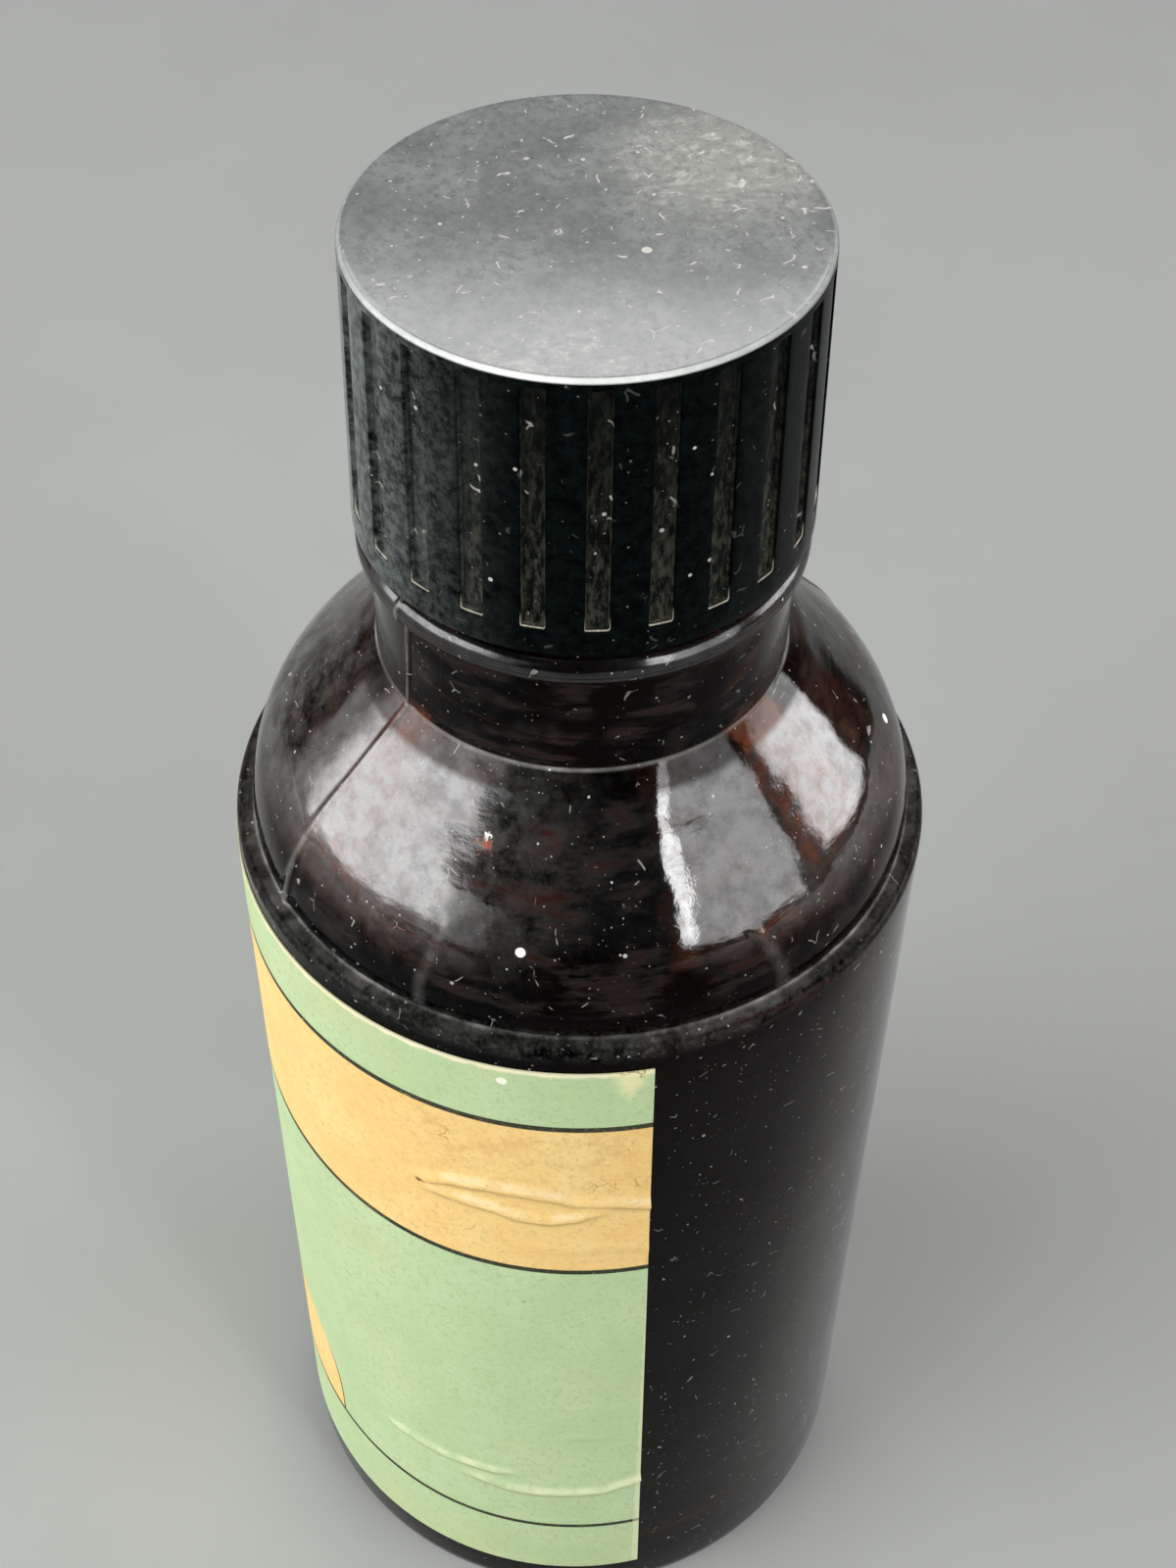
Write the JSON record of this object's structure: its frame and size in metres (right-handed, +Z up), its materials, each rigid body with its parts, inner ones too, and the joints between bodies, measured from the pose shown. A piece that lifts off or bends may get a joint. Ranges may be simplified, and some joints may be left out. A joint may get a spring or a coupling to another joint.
{
  "type": "tincture bottle",
  "caption": "Round amber glass bottle with a stepped shoulder, short neck and threaded finish, closed by a fluted black screw cap with a liner; paper label wrapped round the body.",
  "frame": {"origin": "centre of the base, on the surface that the bottle stands on", "axes": "+Z up along the bottle's axis; -Y towards the middle of the label"},
  "size_m": [0.05, 0.0495, 0.1292],
  "materials": {
    "amber_glass": "polished",
    "black_phenolic": "worn semi-gloss",
    "pulpboard": "matt",
    "coated_paper": "waxed",
    "label_paper": "aged matt"
  },
  "bodies": {
    "bottle": {"glass_bottle": "amber_glass", "paper_label": "label_paper"},
    "liner": {"liner_backing": "pulpboard", "liner_facing": "coated_paper"},
    "cap": {"screw_cap": "black_phenolic"}
  },
  "joints": [
    {"name": "cap_lift", "type": "slide", "parent": "bottle", "child": "liner", "axis": [0, 0, 1], "range_m": [0, 0.01906]},
    {"name": "cap_turn", "type": "hinge", "parent": "liner", "child": "cap", "pos_m": [0, 0, 0.1252], "axis": [0, 0, 1], "range_deg": [0, 2160]}
  ],
  "couplings": [
    {"joint": "cap_lift", "follows": "cap_turn", "m_per_rad": 0.00050532}
  ]
}
